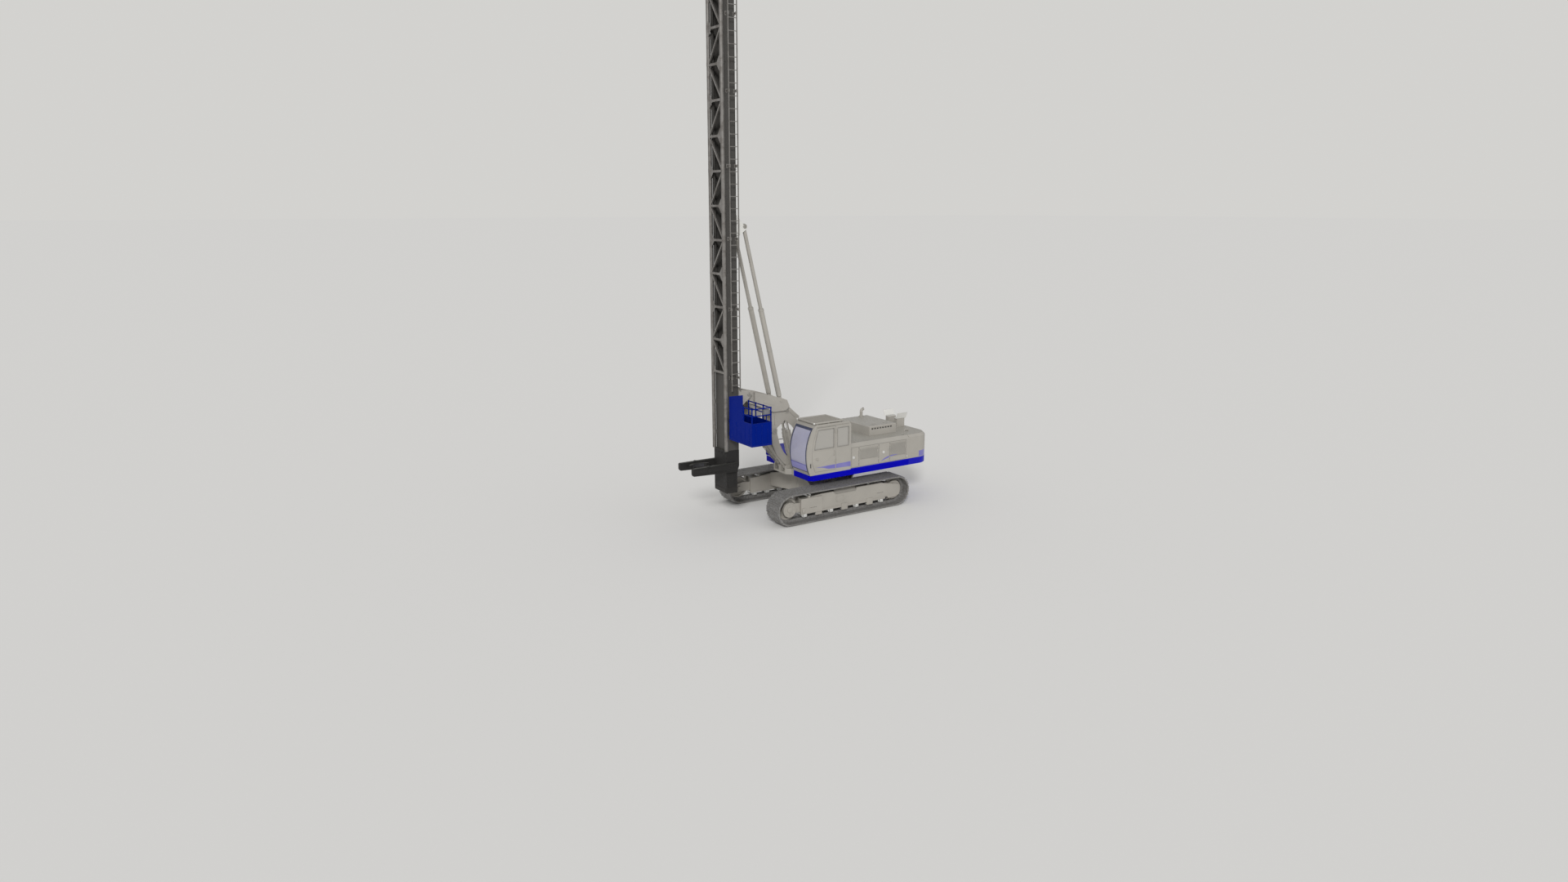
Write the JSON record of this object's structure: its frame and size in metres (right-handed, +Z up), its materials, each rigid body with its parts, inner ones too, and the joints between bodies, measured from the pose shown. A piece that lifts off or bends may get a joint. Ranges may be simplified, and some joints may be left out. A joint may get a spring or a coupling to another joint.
{
  "type": "pile driver rig",
  "caption": "Crawler pile driver rig with a slewing upper, hollow cab with a door, luffing boom, backstayed lattice leader mast, pile guide, ladder and work basket.",
  "frame": {"origin": "on the ground under the slewing axis, midway along and between the tracks", "axes": "+X forward towards the leader, +Y to the cab side, +Z up along the mast"},
  "size_m": [8.39, 3.66, 19.945],
  "materials": {
    "body_paint": "satin warm grey",
    "deck_paint": "satin strong blue",
    "basket_paint": "satin blue",
    "mast_paint": "dark grey paint",
    "mast_steel": "worn grey guide tube",
    "track_steel": "worn",
    "roller_steel": "bright",
    "white_paint": "white paint",
    "engine_iron": "dull",
    "seat_fabric": "woven",
    "console_plastic": "grained",
    "cab_glass": "pale tint"
  },
  "bodies": {
    "undercarriage": {"carbody": "body_paint", "slew_ring": "track_steel", "side_frame_left": "body_paint", "side_frame_right": "body_paint", "track_left": "track_steel", "track_right": "track_steel", "idlers": "body_paint", "sprockets": "body_paint", "rollers": "roller_steel", "carrier_rollers": "roller_steel"},
    "upper": {"upper_frame": "deck_paint", "counterweight": "body_paint", "engine_hood": "body_paint", "raised_cover": "body_paint", "air_stacks": "body_paint", "exhaust_pipe": "body_paint", "engine_block": "engine_iron", "right_housing": "body_paint", "cab_shell": "body_paint", "windscreen": "cab_glass", "cab_panes": "cab_glass", "cab_seat": "seat_fabric", "cab_consoles": "console_plastic", "roof_guard": "body_paint"},
    "cab_door": {"cab_door": "body_paint", "door_pane": "cab_glass"},
    "boom_arm": {"boom_arm": "body_paint"},
    "boom_head": {"boom_head": "body_paint"},
    "level_barrels": {"level_barrels": "body_paint"},
    "level_rods": {"level_rods": "body_paint"},
    "luff_barrels": {"luff_barrels": "body_paint"},
    "luff_rods": {"luff_rods": "body_paint"},
    "stay_barrels": {"stay_barrels": "body_paint"},
    "stay_rods": {"stay_rods": "body_paint"},
    "leader": {"leader_girder": "mast_paint", "guide_lattice": "mast_steel", "leader_foot": "mast_paint", "pile_guide": "mast_paint", "ladder": "mast_steel", "leader_brackets": "white_paint", "leader_head": "mast_paint", "basket": "basket_paint"},
    "head_sheaves": {"head_sheaves": "track_steel"}
  },
  "joints": [
    {"name": "slew", "type": "hinge", "parent": "undercarriage", "child": "upper", "pos_m": [0, 0, 0], "axis": [0, 0, 1], "continuous": true},
    {"name": "cab_door_hinge", "type": "hinge", "parent": "upper", "child": "cab_door", "pos_m": [0.24, 1.564, 2.2], "axis": [0, 0, 1], "range_deg": [0, 165]},
    {"name": "boom_luff", "type": "hinge", "parent": "upper", "child": "boom_arm", "pos_m": [1, 0, 1.45], "axis": [0, 1, 0], "range_deg": [-6, 10]},
    {"name": "head_level", "type": "hinge", "parent": "boom_arm", "child": "boom_head", "pos_m": [1.7, 0, 2.68], "axis": [0, 1, 0], "range_deg": [-10.05, 6.05]},
    {"name": "level_barrel_hinge", "type": "hinge", "parent": "upper", "child": "level_barrels", "pos_m": [0.84, 0, 1.5], "axis": [0, 1, 0], "range_deg": [-4.55, 7.55]},
    {"name": "level_rod_slide", "type": "slide", "parent": "level_barrels", "child": "level_rods", "axis": [0.2204, 0, 0.9754], "range_m": [-0.0748, 0.0453]},
    {"name": "luff_barrel_hinge", "type": "hinge", "parent": "upper", "child": "luff_barrels", "pos_m": [1.2, 0, 1.42], "axis": [0, 1, 0], "range_deg": [-4.73, 7.85]},
    {"name": "luff_rod_slide", "type": "slide", "parent": "luff_barrels", "child": "luff_rods", "axis": [0.6335, 0, 0.7737], "range_m": [-0.0247, 0.0406]},
    {"name": "leader_lean", "type": "hinge", "parent": "boom_head", "child": "leader", "pos_m": [2.7, 0, 3.96], "axis": [0, 1, 0], "range_deg": [-12, 2]},
    {"name": "stay_barrel_hinge", "type": "hinge", "parent": "boom_head", "child": "stay_barrels", "pos_m": [1.506, 0, 3.623], "axis": [0, 1, 0], "range_deg": [-10.9, 1.86]},
    {"name": "stay_rod_slide", "type": "slide", "parent": "stay_barrels", "child": "stay_rods", "axis": [0.2322, 0, 0.9727], "range_m": [-0.2367, 0.0403]},
    {"name": "sheave_spin", "type": "hinge", "parent": "leader", "child": "head_sheaves", "pos_m": [3.55, 0, 19.655], "axis": [0, 1, 0], "continuous": true}
  ],
  "couplings": [
    {"joint": "head_level", "follows": "boom_luff", "ratio": -1},
    {"joint": "level_barrel_hinge", "follows": "boom_luff", "ratio": 0.7503},
    {"joint": "level_rod_slide", "follows": "boom_luff", "m_per_rad": -0.4231},
    {"joint": "luff_barrel_hinge", "follows": "boom_luff", "ratio": 0.7799},
    {"joint": "luff_rod_slide", "follows": "boom_luff", "m_per_rad": 0.2267},
    {"joint": "stay_barrel_hinge", "follows": "leader_lean", "ratio": 0.904},
    {"joint": "stay_rod_slide", "follows": "leader_lean", "m_per_rad": 1.1255}
  ]
}
